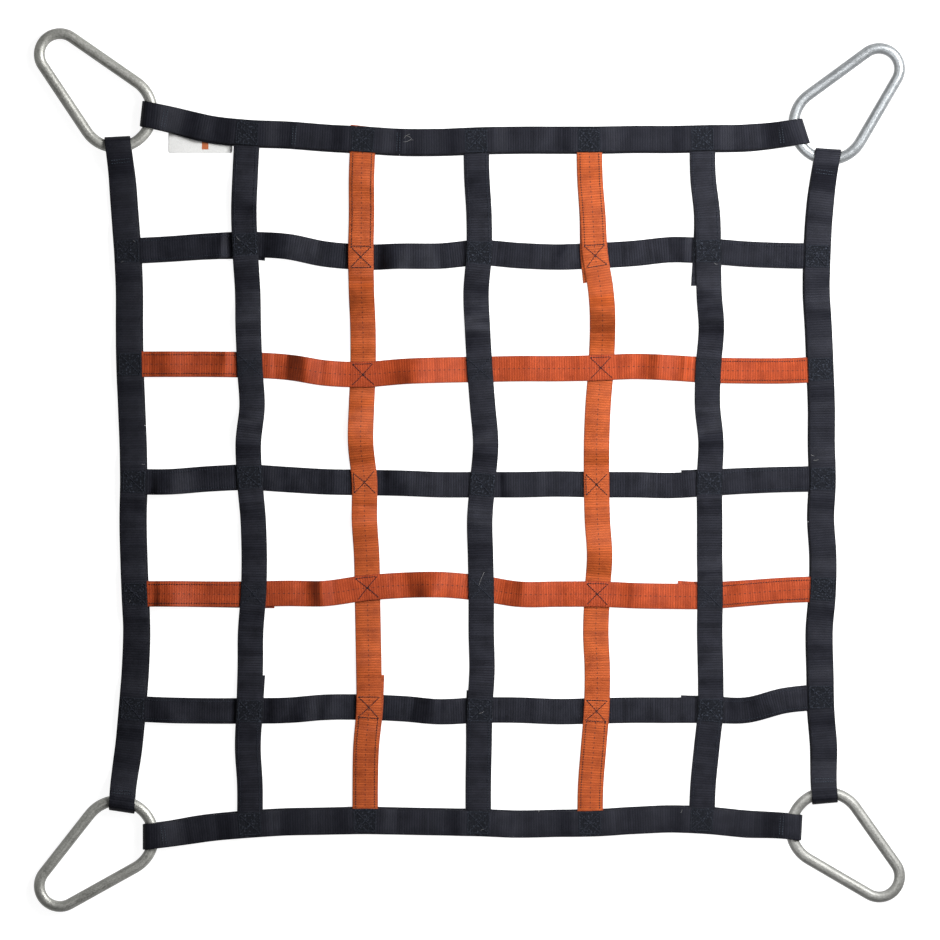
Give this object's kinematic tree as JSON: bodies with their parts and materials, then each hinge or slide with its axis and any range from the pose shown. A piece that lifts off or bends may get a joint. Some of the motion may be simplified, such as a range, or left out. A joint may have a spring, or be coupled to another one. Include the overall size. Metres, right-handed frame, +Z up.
{
  "type": "cargo lifting net",
  "caption": "Square cargo lifting net of black and orange webbing straps sewn where they cross, with doubled border straps and a pear-shaped steel lifting ring at each corner, laid flat.",
  "frame": {"origin": "on the floor under the middle of the net with its rings", "axes": "+X to the right of the picture, +Y to its top, +Z up from the floor towards the camera"},
  "size_m": [1.186, 1.2028, 0.0216],
  "materials": {
    "black_webbing": "woven, matt",
    "orange_webbing": "woven, slight sheen",
    "zinc_steel": "zinc coated, satin",
    "white_tag": "smooth, matt"
  },
  "bodies": {
    "root": {"border_top": "black_webbing", "border_bottom": "black_webbing", "border_left": "black_webbing", "border_right": "black_webbing", "strap_down_2": "black_webbing", "strap_down_3": "orange_webbing", "strap_down_4": "black_webbing", "strap_down_5": "orange_webbing", "strap_down_6": "black_webbing", "strap_across_2": "black_webbing", "strap_across_3": "orange_webbing", "strap_across_4": "black_webbing", "strap_across_5": "orange_webbing", "strap_across_6": "black_webbing", "ring_top_left": "zinc_steel", "ring_top_right": "zinc_steel", "ring_bottom_left": "zinc_steel", "ring_bottom_right": "zinc_steel", "tag": "white_tag"}
  },
  "joints": []
}
